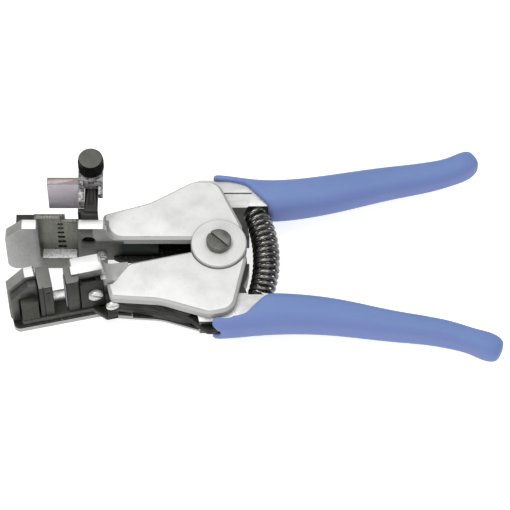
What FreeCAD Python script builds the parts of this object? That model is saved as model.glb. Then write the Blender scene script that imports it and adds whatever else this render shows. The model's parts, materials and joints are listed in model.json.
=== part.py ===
import FreeCAD
import Part
import math
import os

# Two-frame automatic wire stripper, millimetres.
# Design frame: the pivot axis is Z, the handles point along +X, the blade half is on +Y and
# Z = 0 is the middle of the tool.  At export everything is lifted so that the origin is the
# centre of the pivot nut's flat back face.  The gripper half is drawn like the blade half,
# closed along X, and is then swung open by REST_OPEN about the pivot.

Vector = FreeCAD.Vector
Z_AXIS = Vector(0, 0, 1)

# ---- driving dimensions -------------------------------------------------------------------
REST_OPEN = 12.5          # degrees between the two heads at rest
SIDE_PLATE_IN = 4.8       # inner face of a side plate
SIDE_PLATE_OUT = 8.8      # outer face of a side plate
PLATE_BEVEL = 1.1
EYE_R = 11.0              # round eyes of both frames at the pivot
EYE_SPLIT = 6.95          # height where the two frames' eyes meet
EYE_GAP = 0.05
EYE_TOP = 10.0
RELIEF_R = 11.4           # clearance cut round the other frame's eye
BOLT_R = 3.0
RUNNING = 0.05            # radial running clearance
BOLT_HEAD_R = 4.9
BOLT_HEAD_TOP = 12.8
NUT_R = 5.2
NUT_BACK = -12.6
HEAD_TOP = 16.0
HEAD_BOTTOM = -14.0
NECK_X = -44.5            # where the side plates start
WING_X = -45.8            # their outer corners reach further, past the heads
GRIP_WING_X = -46.3
INNER_EDGE = 2.7          # of the blade frame's top side plate
LOW_INNER_EDGE = 1.2      # of its bottom one
GRIP_INNER_EDGE = 0.4
LEVER_HALF = 4.6          # half thickness of levers and draw bars
LEVER_EYE_R = 9.5
PIN_X, PIN_Y = -8.0, 28.6  # draw pin, measured from the pivot
PIN_R = 2.0
TONGUE_HALF = 1.9         # half thickness of the draw bar's tongue in the lever's fork
SLEEVE_HALF_Z = 7.75
SLEEVE_START_X = -2.7
SLEEVE_LIP_R = 3.4         # the sleeve's front lip is rounded in plan
SLEEVE_LIP_TOP = 35.8
LIFT = -NUT_BACK          # design frame to part frame


# ---- small helpers ------------------------------------------------------------------------
def outline(points):
    """Closed flat wire through (x, y, corner radius) points, corners rounded by tangent arcs."""
    count = len(points)
    starts, ends, mids = [], [], []
    for i in range(count):
        corner = Vector(points[i][0], points[i][1], 0)
        before = Vector(points[i - 1][0], points[i - 1][1], 0) - corner
        after = Vector(points[(i + 1) % count][0], points[(i + 1) % count][1], 0) - corner
        before.normalize()
        after.normalize()
        radius = points[i][2]
        half = math.acos(max(-1.0, min(1.0, before.dot(after)))) / 2
        if radius <= 0 or abs(half - math.pi / 2) < 1e-4:
            starts.append(corner)
            ends.append(corner)
            mids.append(None)
            continue
        cut = radius / math.tan(half)
        middle = before + after
        middle.normalize()
        centre = corner + middle * (radius / math.sin(half))
        starts.append(corner + before * cut)
        ends.append(corner + after * cut)
        mids.append(centre - middle * radius)
    edges = []
    for i in range(count):
        if mids[i] is not None:
            edges.append(Part.Arc(starts[i], mids[i], ends[i]).toShape())
        following = starts[(i + 1) % count]
        if (following - ends[i]).Length > 1e-6:
            edges.append(Part.LineSegment(ends[i], following).toShape())
    return Part.Wire(edges)


def slab(points, z0, z1):
    """Flat plate between two heights, from (x, y, corner radius) points."""
    face = Part.Face(outline(points))
    face.translate(Vector(0, 0, z0))
    return face.extrude(Vector(0, 0, z1 - z0))


def wall(points, y0, y1):
    """Upright plate between two Y faces, from (x, z, corner radius) points."""
    solid = slab(points, -y1, -y0)
    solid.rotate(Vector(0, 0, 0), Vector(1, 0, 0), 90)
    return solid


def block(x0, x1, y0, y1, z0, z1):
    return Part.makeBox(x1 - x0, y1 - y0, z1 - z0, Vector(x0, y0, z0))


def rod(x, y, z0, z1, radius):
    return Part.makeCylinder(radius, z1 - z0, Vector(x, y, z0))


def rod_y(x, z, y0, y1, radius):
    return Part.makeCylinder(radius, y1 - y0, Vector(x, y0, z), Vector(0, 1, 0))


def mirrored(shape):
    """The same shape on the -Y half."""
    return shape.mirror(Vector(0, 0, 0), Vector(0, 1, 0))


def flipped(shape):
    """The same shape below the middle plane."""
    return shape.mirror(Vector(0, 0, 0), Z_AXIS)


def opened(shape):
    """Swings a gripper-half shape to its rest position."""
    turned = shape.copy()
    turned.rotate(Vector(0, 0, 0), Z_AXIS, REST_OPEN)
    return turned


def bevelled(shape, z, size):
    """Chamfers the edges that lie in the plane at height z."""
    edges = [e for e in shape.Edges if all(abs(v.Z - z) < 1e-6 for v in e.Vertexes)
             and abs(e.BoundBox.ZLength) < 1e-6]
    return shape.makeChamfer(size, edges)


def cut(shape, *tools):
    for tool in tools:
        shape = shape.cut(tool)
    return shape


def join(*shapes):
    whole = shapes[0]
    for shape in shapes[1:]:
        whole = whole.fuse(shape)
    return whole.removeSplitter()


def cheese_screw(x, z, y_seat, head_r, head_h, shank_r, depth, slot_angle):
    """Slotted screw along Y: head on the -Y side of y_seat, shank going into +Y."""
    head = rod_y(x, z, y_seat - head_h, y_seat, head_r)
    slot = block(-head_r - 1, head_r + 1, y_seat - head_h - 1, y_seat - head_h * 0.55, -0.45, 0.45)
    slot.rotate(Vector(0, 0, 0), Vector(0, 1, 0), slot_angle)
    slot.translate(Vector(x, 0, z))
    return join(head.cut(slot), rod_y(x, z, y_seat, y_seat + depth, shank_r))


def solids(shape):
    return shape.Solids if shape.ShapeType in ("Compound", "CompSolid") else [shape]


parts = {}


def keep(name, *shapes):
    group = []
    for shape in shapes:
        group.extend(solids(shape))
    parts[name] = group


# ---- side plates of both frames -----------------------------------------------------------
WING = [(9.6, 0, 0), (9.0, 9.0, 3), (-0.6, 29.8, 6.5), (-10.3, 29.8, 7), (-27.5, 19.8, 25)]
BLADE_WING_END = [(WING_X, 14.2, 2), (WING_X, 9.9, 0), (NECK_X, 9.9, 0), (NECK_X, 0, 7)]
GRIP_WING_END = [(GRIP_WING_X, 14.2, 2), (GRIP_WING_X, 7.6, 0), (NECK_X, 7.6, 0), (-36.5, 0, 5)]
BAR_WINDOW = [(GRIP_WING_X - 1, 7.0, 0), (NECK_X, 7.0, 0), (NECK_X, 8.4, 0), (-38.2, 8.4, 0),
              (-38.2, 18, 0), (GRIP_WING_X - 1, 18, 0)]
DOWEL_R = 1.5


def side_plate(inner_edge, wing_end):
    points = [(x, y or inner_edge, r) for x, y, r in WING + wing_end]
    return bevelled(slab(points, SIDE_PLATE_IN, SIDE_PLATE_OUT), SIDE_PLATE_OUT, PLATE_BEVEL)


def blade_plate(inner_edge):
    plate = side_plate(inner_edge, BLADE_WING_END)
    plate = plate.cut(rod(0, 0, SIDE_PLATE_IN - 1, EYE_SPLIT + EYE_GAP, RELIEF_R))
    eye = rod(0, 0, EYE_SPLIT + EYE_GAP, EYE_TOP, EYE_R)
    eye = bevelled(eye, EYE_TOP, 0.4)
    return cut(join(plate, eye), rod(0, 0, 0, 20, BOLT_R))


def grip_plate():
    plate = mirrored(side_plate(GRIP_INNER_EDGE, GRIP_WING_END))
    plate = plate.cut(rod(0, 0, EYE_SPLIT, SIDE_PLATE_OUT + 1, RELIEF_R))
    eye = rod(0, 0, SIDE_PLATE_IN, EYE_SPLIT, EYE_R)
    return cut(join(plate, eye), rod(0, 0, 0, 20, BOLT_R + RUNNING))


def dowel_holes(side):
    return [rod(x, side * 5.4, -6.8, 6.8, DOWEL_R) for x in (-40.5, -29.0)]


def side_plates(prefix, plate, low_plate, side, place):
    lower = flipped(low_plate)
    window = slab([(x, side * y, r) for x, y, r in BAR_WINDOW], -12, -2)
    lower = lower.cut(window)
    holes = dowel_holes(side)
    keep(prefix + "_plate_top", place(cut(plate, *holes)))
    keep(prefix + "_plate_bottom", place(cut(lower, *holes)))
    keep(prefix + "_dowels", *[place(h) for h in holes])


# ---- blade head ---------------------------------------------------------------------------
BH_LEFT, BH_RIGHT = -84.2, -44.7
BH_FRONT, BH_BACK = INNER_EDGE, 6.9
WINDOW_L, WINDOW_R, WINDOW_FLOOR = -71.0, -55.6, -6.0
SET_X, SET_Z = -51.3, 7.1              # set screw of the fixed blade
STOP_SCREW_X, STOP_SCREW_Z = -50.0, 12.6
HEAD_SCREW_X, HEAD_SCREW_Z = -46.6, -3.0
HEAD_SCREW_HEAD = 1.6


def blade_head():
    face = [(BH_LEFT, HEAD_BOTTOM, 4), (BH_RIGHT, HEAD_BOTTOM, 2), (BH_RIGHT, HEAD_TOP, 1),
            (WINDOW_R, HEAD_TOP, 1), (WINDOW_R, WINDOW_FLOOR, 1.5), (WINDOW_L, WINDOW_FLOOR, 1.5),
            (WINDOW_L, HEAD_TOP, 1), (BH_LEFT + 6.8, HEAD_TOP, 2), (BH_LEFT, HEAD_TOP - 6.9, 3)]
    plate = wall(face, BH_FRONT, BH_BACK)
    web = block(BH_RIGHT - 1, -24, BH_FRONT, 8.0, -SIDE_PLATE_IN, SIDE_PLATE_IN)
    gusset = wall([(BH_RIGHT - 1, SIDE_PLATE_IN, 0), (-36.8, SIDE_PLATE_IN, 0), (-36.8, 6.0, 0),
                   (-43.6, 8.6, 5), (-44.2, HEAD_TOP - 0.8, 0), (BH_RIGHT - 1, HEAD_TOP - 0.8, 0)],
                  BH_FRONT, BH_FRONT + 2.2)
    cheek = block(BH_RIGHT - 0.5, NECK_X, BH_FRONT + 0.2, BH_BACK - 0.2,
                  HEAD_BOTTOM + 2.5, SIDE_PLATE_OUT + 1)
    # beds that fill the rounded corners of the side plates
    wing = side_plate(INNER_EDGE, BLADE_WING_END)
    low_wing = flipped(side_plate(LOW_INNER_EDGE, BLADE_WING_END))
    top_bed = block(BH_RIGHT - 0.5, -37.0, BH_FRONT, 9.7, SIDE_PLATE_IN, 7.6)
    low_bed = block(BH_RIGHT - 0.5, -37.0, BH_FRONT, 8.2, -7.6, -SIDE_PLATE_IN)
    head = join(plate, web, cheek, join(gusset, top_bed).cut(wing), low_bed.cut(low_wing))
    tap = [rod_y(SET_X, SET_Z, 0, 20, 2.75), rod_y(HEAD_SCREW_X, HEAD_SCREW_Z, 0, 6.2, 1.5),
           rod_y(STOP_SCREW_X, STOP_SCREW_Z, 4.2, 20, 1.2)]
    return cut(head, *tap, *dowel_holes(1))


def set_screw():
    """Socket set screw, recessed, that clamps the fixed blade."""
    body = rod_y(SET_X, SET_Z, 3.9, BH_BACK, 2.75)
    hexagon = [(SET_X + 1.55 * math.cos(math.radians(a)), SET_Z + 1.55 * math.sin(math.radians(a)), 0)
               for a in range(0, 360, 60)]
    return body.cut(wall(hexagon, 3.0, 5.6))


# ---- stripping blades ---------------------------------------------------------------------
BLADE_FRONT, BLADE_BACK = 7.0, 9.2
FIXED_BLADE_BACK = 8.2
NOTCHES = [(12.6, 0.55), (9.6, 0.6), (6.4, 0.67), (3.0, 0.75), (-0.4, 0.82), (-4.0, 0.9)]
NOTCH_INSET = 0.94        # of a notch's radius: its centre's distance from the blade's edge
BLADE_SCREW_X, BLADE_SCREW_Z = -73.5, 5.0     # holds the moving blade on its carriage
BLADE_GAP_X = -62.3       # line of the wire when the blades are shut
BLADE_REST_GAP = 0.08


def blade(x0, x1, edge_x, inwards, top, back):
    """Blade with a row of keyhole notches along its edge; inwards is +1 or -1 along X."""
    body = block(x0, x1, BLADE_FRONT, back, -6.5, top)
    for z, radius in NOTCHES:
        body = body.cut(rod_y(edge_x + inwards * NOTCH_INSET * radius, z, 0, 20, radius))
    return body


def blades():
    fixed_edge = BLADE_GAP_X + 0.05
    fixed = blade(fixed_edge, -48.2, fixed_edge, 1, 14.6, FIXED_BLADE_BACK)
    keep("blade_fixed", fixed.cut(rod_y(STOP_SCREW_X, STOP_SCREW_Z, 0, 20, 1.2)))
    moving_edge = BLADE_GAP_X - BLADE_REST_GAP
    moving = blade(-72.4, moving_edge, moving_edge, -1, 16.6, BLADE_BACK)
    tab = block(-68.0, moving_edge + 2.0, FIXED_BLADE_BACK + 0.1, BLADE_BACK, 14.4, 16.6)
    moving = join(moving, tab, block(-76.0, -72.0, BLADE_FRONT + 0.4, BLADE_BACK, -6.0, 9.0))
    moving = moving.cut(rod_y(BLADE_SCREW_X, BLADE_SCREW_Z, 0, 20, 1.5))
    keep("blade_moving", moving)
    keep("blade_moving_screw", rod_y(BLADE_SCREW_X, BLADE_SCREW_Z, 7.5, 12.0, 1.5))


# ---- draw bars ----------------------------------------------------------------------------
CARRIAGE_TOP = -6.6
CARRIAGE_BOTTOM = -9.4
BAR_END_X = -17.0
BAR = [(-47.0, 9.0, 0), (-33.5, 10.2, 6), (BAR_END_X, 18.4, 0), (BAR_END_X, 25.6, 0),
       (-31.0, 18.6, 14), (-42.8, 13.7, 0), (-47.0, 13.7, 0)]
TONGUE = [(BAR_END_X - 2, 19.8, 0), (-6.4, 21.6, 3), (-3.4, 27.0, 3), (-5.4, 33.8, 3),
          (-11.8, 32.8, 3), (BAR_END_X - 2, 24.0, 0)]
SLOT_IN, SLOT_OUT = 3.9, 3.3   # ends of the pin slot, inwards and outwards of the pin's centre


def draw_bar():
    """Bar between the side plates, its riser and the tongue that the lever's pin pulls."""
    bar = slab(BAR, -LEVER_HALF, LEVER_HALF)
    riser = block(-47.6, -43.6, 8.9, 13.8, CARRIAGE_BOTTOM, LEVER_HALF + 0.05)
    tongue = slab(TONGUE, -TONGUE_HALF, TONGUE_HALF)
    half = PIN_R + 0.3
    slot = slab([(PIN_X - half, PIN_Y - SLOT_IN, 2.0), (PIN_X + half, PIN_Y - SLOT_IN, 2.0),
                 (PIN_X + half, PIN_Y + SLOT_OUT, 2.0), (PIN_X - half, PIN_Y + SLOT_OUT, 2.0)], -3, 3)
    return cut(join(bar, riser, tongue), slot)


def blade_carriage():
    foot = slab([(-80, 9.4, 0), (-44, 9.4, 0), (-44, 13.6, 0), (-80, 13.0, 0)],
                CARRIAGE_BOTTOM, CARRIAGE_TOP)
    post = block(-80, -71.2, 9.4, 13.0, CARRIAGE_BOTTOM, 10.0)
    shape = join(draw_bar(), foot, post)
    return shape.cut(rod_y(BLADE_SCREW_X, BLADE_SCREW_Z, 9.0, 12.0, 1.5))


# ---- gripper head -------------------------------------------------------------------------
GH_LEFT, GH_RIGHT = -84.8, -47.4
GH_BACK, GH_FRONT = 1.8, -2.7     # rear and front faces of its upright plate
NECK_FRONT, NECK_BACK = -7.5, 0.4
GRIP_WINDOW_L, GRIP_WINDOW_R, GRIP_WINDOW_FLOOR = -73.2, -59.6, -5.5
JAW_FRONT = -8.4
JAW_TOP, JAW_BOTTOM = 15.0, -6.2
FIXED_JAW_BACK = -0.6
MOVING_JAW_BACK = 1.5
JAW_STEP = -5.3           # underside of the jaws where they pass over the window floor
GRIP_FIXED_X = -62.2      # face of the fixed jaw
GRIP_GAP = 5.4            # between the jaws at rest
JAW_WIDTH = 5.4           # of the moving jaw
CLAMP_LEFT, CLAMP_RIGHT = -56.9, -49.6        # block that clamps the fixed jaw
CLAMP_TOP = 11.5
CLAMP_SCREW_X, CLAMP_SCREW_Z = -51.2, 3.6
CLAMP_SCREW_R = 1.6
FLANGE_RIGHT = -47.6
FLANGE_BACK = -7.4        # rear face of the clamp's flange on the neck
BAR_SCREW_X, BAR_SCREW_Z = -45.6, 2.0
BAR_SCREW_R = 1.2
SHELF_FRONT = -5.4
POST_RIGHT = -73.9        # right side of the gripper carriage's post
BASE_TOP = CARRIAGE_BOTTOM - 0.15
BASE_PLATE = [(GH_LEFT + 0.6, GH_FRONT, 0), (GH_LEFT + 0.6, -9.0, 2.5), (-50.5, -9.0, 4),
              (-36.0, -13.6, 0), (-35.5, -9.0, 0), (-44.0, GH_FRONT, 0)]
# the guide in front of the carriage's post and its spacer, (x, z, corner radius)
GUIDE = [(-84.3, BASE_TOP, 0), (-84.3, 6.6, 1), (-77.0, 14.2, 1), (-73.4, 14.2, 0.5),
         (-73.4, 6.6, 0), (-81.2, 6.6, 1), (-81.2, BASE_TOP, 0)]
GUIDE_SPACER = [(-82.6, -8, 0), (-82.6, 6.2, 0), (-76.6, 12.4, 0), (-74.5, 12.4, 0), (-74.5, 7.2, 0),
                (-81.6, 7.2, 0), (-81.6, -8, 0)]
# sloping rib from the head's top down to the side plate, (x, z, corner radius)
RAMP = [(GH_RIGHT - 1, SIDE_PLATE_IN, 0), (-36.5, SIDE_PLATE_IN, 0), (-36.5, 8.0, 0),
        (-45.8, 9.4, 5.0), (-47.2, HEAD_TOP - 0.1, 0), (GH_RIGHT - 1, HEAD_TOP - 0.1, 0)]


def grip_head():
    face = [(GH_LEFT, HEAD_BOTTOM, 2), (GH_RIGHT, HEAD_BOTTOM, 2), (GH_RIGHT, HEAD_TOP, 1),
            (GRIP_WINDOW_R, HEAD_TOP, 1), (GRIP_WINDOW_R, GRIP_WINDOW_FLOOR, 0),
            (GRIP_WINDOW_L, GRIP_WINDOW_FLOOR, 0), (GRIP_WINDOW_L, HEAD_TOP, 1),
            (GH_LEFT + 7.3, HEAD_TOP, 1), (GH_LEFT, HEAD_TOP - 7.8, 1)]
    plate = wall(face, GH_FRONT, GH_BACK)
    guide = wall(GUIDE, -6.2, -3.4)
    spacer = wall(GUIDE_SPACER, -3.6, GH_FRONT + 0.2)
    web = block(GH_RIGHT - 1, -24, -8.0, GH_FRONT + 2.5, -SIDE_PLATE_IN, SIDE_PLATE_IN)
    shelf = block(GRIP_WINDOW_R, GH_RIGHT + 0.2, SHELF_FRONT, GH_FRONT + 1, CLAMP_TOP + 0.1, HEAD_TOP)
    neck = join(block(-49.5, NECK_X, NECK_FRONT, NECK_BACK, JAW_BOTTOM, SIDE_PLATE_OUT),
                block(-49.5, NECK_X, GH_FRONT, NECK_BACK, HEAD_BOTTOM + 0.5, 0))
    wing = mirrored(side_plate(GRIP_INNER_EDGE, GRIP_WING_END))
    ramp = cut(wall(RAMP, NECK_FRONT + 0.1, NECK_BACK), wing,
               block(GH_RIGHT - 2, GH_RIGHT + 1, -9, SHELF_FRONT, CLAMP_TOP, HEAD_TOP + 1))
    low_bed = block(NECK_X - 0.5, -36.5, NECK_FRONT, -GRIP_INNER_EDGE, -8.0, -SIDE_PLATE_IN)
    head = join(plate, web, neck, ramp, low_bed.cut(flipped(wing)), shelf, guide, spacer)
    hole = rod_y(CLAMP_SCREW_X, CLAMP_SCREW_Z, -10, -1.0, CLAMP_SCREW_R)
    flange_seat = block(CLAMP_LEFT + 6.8, FLANGE_RIGHT + 0.1, -9, FLANGE_BACK, JAW_BOTTOM - 1, JAW_TOP)
    screw_relief = rod_y(HEAD_SCREW_X, HEAD_SCREW_Z, 0.2, GH_BACK + 1, 2.6)
    return cut(head, hole, flange_seat, screw_relief, *dowel_holes(-1))


def clamp_block():
    """Hollow block with a flange, screwed to the head, that holds the fixed jaw."""
    body = block(CLAMP_LEFT, CLAMP_RIGHT, JAW_FRONT, GH_FRONT, JAW_BOTTOM, CLAMP_TOP)
    flange = block(CLAMP_RIGHT - 0.4, FLANGE_RIGHT, JAW_FRONT, FLANGE_BACK - 0.02, JAW_BOTTOM, CLAMP_TOP)
    pocket = block(CLAMP_LEFT + 0.9, CLAMP_RIGHT - 0.8, JAW_FRONT + 1.2, -5.4, CLAMP_TOP - 2.1, 14)
    hole = rod_y(CLAMP_SCREW_X, CLAMP_SCREW_Z, -12, 0, CLAMP_SCREW_R)
    return cut(join(body, flange), pocket, hole)


def gripper():
    fixed = slab([(GRIP_FIXED_X, JAW_FRONT, 0.6), (-57.0, JAW_FRONT, 1.4), (-57.0, -5.5, 0),
                  (-59.7, -5.5, 0), (-59.7, FIXED_JAW_BACK, 0), (GRIP_FIXED_X, FIXED_JAW_BACK, 0)],
                 JAW_BOTTOM, JAW_TOP)
    under = block(GRIP_WINDOW_L, GRIP_WINDOW_R, GH_FRONT - 0.15, GH_BACK, CARRIAGE_TOP - 1, JAW_STEP)
    keep("grip_fixed_jaw", opened(fixed.cut(under)))
    keep("grip_clamp_block", opened(clamp_block()))
    screw = cheese_screw(CLAMP_SCREW_X, CLAMP_SCREW_Z, JAW_FRONT, 2.85, 1.5, CLAMP_SCREW_R - 0.02, 7.4, 35)
    keep("grip_clamp_screw", opened(screw))
    moving_face = GRIP_FIXED_X - GRIP_GAP
    moving = slab([(moving_face, JAW_FRONT, 0.6), (moving_face - JAW_WIDTH, JAW_FRONT, 0),
                   (moving_face - JAW_WIDTH, MOVING_JAW_BACK, 0), (moving_face, MOVING_JAW_BACK, 0)],
                  CARRIAGE_TOP, JAW_TOP)
    dimple = rod_y(moving_face - 2.0, 10.5, -9, JAW_FRONT + 1.0, 0.8)
    groove = block(moving_face - 3.9, moving_face - 3.5, -9, JAW_FRONT + 0.6, -7, 16)
    keep("grip_moving_jaw", opened(cut(moving, under, dimple, groove)))
    pad = block(GRIP_FIXED_X - 0.4, GRIP_FIXED_X, -7.0, -1.4, JAW_STEP + 0.1, 11.0)
    keep("grip_pad", opened(pad))
    bar_screw = cheese_screw(BAR_SCREW_X, BAR_SCREW_Z, -13.8, 2.5, 1.0, BAR_SCREW_R - 0.02, 3.4, 0)
    keep("draw_bar_grip_screw", opened(bar_screw))


def grip_carriage():
    foot = slab([(-81, -3.0, 0), (-81, -8.8, 1), (-52.8, -8.8, 0), (-48.2, -13.7, 0), (-44, -13.7, 0),
                 (-44, -9.1, 0), (-49.7, -8.9, 0), (-58.0, -3.0, 0)], CARRIAGE_BOTTOM, CARRIAGE_TOP)
    post = block(-80.5, POST_RIGHT, -8.6, GH_FRONT - 0.3, CARRIAGE_BOTTOM, 6.0)
    hole = rod_y(BAR_SCREW_X, BAR_SCREW_Z, -14.0, -10.3, BAR_SCREW_R)
    return cut(join(mirrored(draw_bar()), foot, post), hole)


# ---- levers, pins and handle sleeves ------------------------------------------------------
# centreline x, y and half width of each handle sleeve
UPPER_LINE = [(-6, 27.3, 9.4), (6, 26.2, 8.5), (20, 25.6, 7.6), (43.6, 28.6, 7.1), (68.7, 34.0, 5.9),
              (86.0, 37.4, 5.2), (94.5, 40.2, 4.9), (100.6, 43.6, 4.4)]
LOWER_LINE = [(-6, 27.4, 8.6), (6, 27.0, 8.3), (20, 26.5, 7.4), (43.6, 27.7, 6.4), (68.7, 32.1, 5.0),
              (86.0, 34.9, 4.4), (97.5, 38.3, 4.3), (107.4, 42.4, 4.4)]
SLEEVE_THINNING = 3.4      # of the half thickness, per length of the sleeve, beyond its first third


def centre_curve(points):
    curve = Part.BSplineCurve()
    curve.interpolate([Vector(x, y, 0) for x, y, half in points])
    return curve


def sleeve(line):
    """Dipped plastic handle: rounded sections along the centreline, slimmer towards the tip."""
    curve = centre_curve(line)
    first, last = curve.FirstParameter, curve.LastParameter
    widths = Part.BSplineCurve()
    widths.interpolate([Vector(x, half, 0) for x, y, half in line])
    sections = []
    steps = 13
    for i in range(steps + 1):
        share = i / steps
        at = first + (last - first) * share
        point = curve.value(at)
        along = curve.tangent(at)[0]
        half_y = widths.value(widths.parameter(Vector(point.x, 6, 0))).y
        half_z = SLEEVE_HALF_Z - SLEEVE_THINNING * max(0.0, share - 0.3)
        corner = min(half_y, half_z) * 0.72
        ring = outline([(-half_y, -half_z, corner), (half_y, -half_z, corner),
                        (half_y, half_z, corner), (-half_y, half_z, corner)])
        ring.rotate(Vector(0, 0, 0), Vector(1, 0, 0), 90)
        ring.rotate(Vector(0, 0, 0), Z_AXIS, math.degrees(math.atan2(along.y, along.x)) - 90)
        ring.translate(point)
        sections.append(ring)
    # the rounded tip: two smaller sections beyond the end of the line
    for ahead, scale in ((1.6, 0.86), (2.5, 0.52)):
        ring = sections[steps].copy()
        ring.translate(-point)
        ring.scale(scale)
        ring.translate(point + along * ahead)
        sections.append(ring)
    body = Part.makeLoft(sections, True, False)
    front = slab([(-20, 10, 0), (24.5, 14, 0), (9.4, 31.0, 3), (5.5, 40, 0), (-20, 40, 0)], -20, 20)
    nose = front.cut(rod(0, 0, -20, 20, 31.6))
    front = front.cut(nose)
    tip_cut = block(-40, SLEEVE_START_X, 10, 50, -20, 20)
    round_x, round_y = SLEEVE_START_X + SLEEVE_LIP_R, SLEEVE_LIP_TOP - SLEEVE_LIP_R
    lip = block(-40, round_x, round_y, 50, -20, 20).cut(rod(round_x, round_y, -20, 20, SLEEVE_LIP_R))
    return cut(body, front, tip_cut, lip)


def shank(line):
    """Steel tang that carries the sleeve."""
    curve = centre_curve(line)
    first, last = curve.FirstParameter, curve.LastParameter
    left, right = [], []
    steps = 12
    for i in range(steps + 1):
        at = first + (last - first) * (0.22 + 0.68 * i / steps)
        point = curve.value(at)
        along = curve.tangent(at)[0]
        side = Vector(-along.y, along.x, 0) * (4.4 - 1.8 * i / steps)
        left.append(point + side)
        right.append(point - side)
    upper = Part.BSplineCurve()
    upper.interpolate(left)
    lower = Part.BSplineCurve()
    lower.interpolate(right)
    wire = Part.Wire([upper.toShape(), Part.LineSegment(left[-1], right[-1]).toShape(),
                      lower.toShape(), Part.LineSegment(right[0], left[0]).toShape()])
    face = Part.Face(wire)
    face.translate(Vector(0, 0, -LEVER_HALF + 0.6))
    return face.extrude(Vector(0, 0, 2 * LEVER_HALF - 1.2))


# fork slot of a lever, in the closed position of its draw bar
FORK = [(-30, 16.0, 0), (-2.6, 18.6, 1), (0.8, 40, 0), (-30, 40, 0)]
TONGUE_REACH = 5.9        # sweep of the tongue's end about the pin
LEVER_NOSE_X = -14.3      # the lever stops here, clear of the draw bar's thick end


def turned(shape, angle):
    """A copy swung about the pivot."""
    copy = shape.copy()
    copy.rotate(Vector(0, 0, 0), Z_AXIS, angle)
    return copy


def lever_blank(line, eye_z0, eye_z1):
    """Lever before it is forked and drilled, drawn on the +Y side."""
    arm = slab([(-7.5, 5.0, 0), (-13.2, 25.5, 4), (-9.0, 32.6, 4), (2.8, 32.2, 3), (12.0, 29.6, 0),
                (22.0, 21.4, 0), (19.0, 20.3, 1), (11.4, 20.3, 1), (9.6, 16.0, 0), (11.2, 11.0, 0),
                (12.0, 6.4, 0)], -LEVER_HALF, LEVER_HALF)
    arm = arm.cut(rod(0, 0, -10, 10, LEVER_EYE_R + 1.0))
    neck = slab([(-7.5, 5.0, 0), (-9.4, 12.0, 0), (9.0, 12.0, 0), (8.4, 5.0, 0)], eye_z0, eye_z1)
    eye = rod(0, 0, eye_z0, eye_z1, LEVER_EYE_R)
    return join(arm, neck, eye, shank(line))


def handle(name, line, eye_z0, eye_z1, swing, place):
    """Lever, sleeve, draw pin and spring post; swing is the rest angle of its draw bar."""
    blank = lever_blank(line, eye_z0, eye_z1)
    gap = TONGUE_HALF + 0.2
    fork = turned(slab(FORK, -gap, gap), swing)
    pin_hole = turned(rod(PIN_X, PIN_Y, -LEVER_HALF, LEVER_HALF, PIN_R), swing)
    tongue_room = turned(rod(PIN_X, PIN_Y, -gap, gap, TONGUE_REACH), swing)
    bar_room = turned(block(-40, LEVER_NOSE_X, 0, 45, -LEVER_HALF - 1, LEVER_HALF + 1), swing)
    step_line = block(-3.0, 13.0, 25.9, 26.6, LEVER_HALF - 0.8, 10)
    steel = cut(blank, fork, bar_room, step_line, rod(0, 0, -10, 10, BOLT_R + RUNNING), pin_hole)
    post = Part.makeCylinder(2.6, 2.6, Vector(14.6, 20.3, 0), Vector(0.16, -1, 0))
    keep("lever_" + name, place(steel))
    keep("handle_sleeve_" + name, place(cut(sleeve(line), blank, tongue_room)))
    keep("draw_pin_" + name, place(pin_hole))
    keep("spring_post_" + name, place(post.cut(blank)))


# ---- pivot, spring and length stop --------------------------------------------------------
def pivot():
    head = bevelled(rod(0, 0, EYE_TOP, BOLT_HEAD_TOP, BOLT_HEAD_R), BOLT_HEAD_TOP, 0.4)
    slot = block(-8, 8, -0.45, 0.45, BOLT_HEAD_TOP - 1.4, BOLT_HEAD_TOP + 1)
    slot.rotate(Vector(0, 0, 0), Z_AXIS, -43)
    keep("pivot_bolt", join(head.cut(slot), rod(0, 0, NUT_BACK + 0.9, EYE_TOP, BOLT_R)))
    nut = bevelled(rod(0, 0, NUT_BACK, -EYE_TOP, NUT_R), NUT_BACK, 0.5)
    keep("pivot_nut", nut.cut(rod(0, 0, NUT_BACK + 0.9, 0, BOLT_R)))


SPRING_R = 5.0


def spring():
    """Outer shape of the return spring: a bowed tube between the levers."""
    top, middle, bottom = Vector(14.6, 16.9, 0), Vector(18.2, -1.0, 0), Vector(15.6, -17.2, 0)
    path = Part.Wire([Part.Arc(top, middle, bottom).toShape()])
    start = Part.Circle(top, Vector(0.4, -1, 0), SPRING_R)
    tube = path.makePipeShell([Part.Wire([start.toShape()])], True, False)
    keep("spring", tube)


ARM_X0, ARM_X1 = -52.6, -47.4
ARM_BOTTOM, ARM_TOP = 17.8, 20.0
STOP_BACK = 8.3           # front faces of the bracket's foot and arm
KNOB_X, KNOB_Y = -50.0, 24.6
KNOB_R = 5.1
KNOB_SHANK_R = 1.5
KNOB_BOTTOM, KNOB_TOP = 26.05, 33.2
STOP_TRAVEL = 3.4         # of the length stop along its slot, each way
CLAMP_X0, CLAMP_X1 = -55.0, -45.4             # sliding clamp of the stop plate
STOP_PLATE = (-67.2, -53.1, 16.8, 20.2, 8.6, 26.0)


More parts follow.
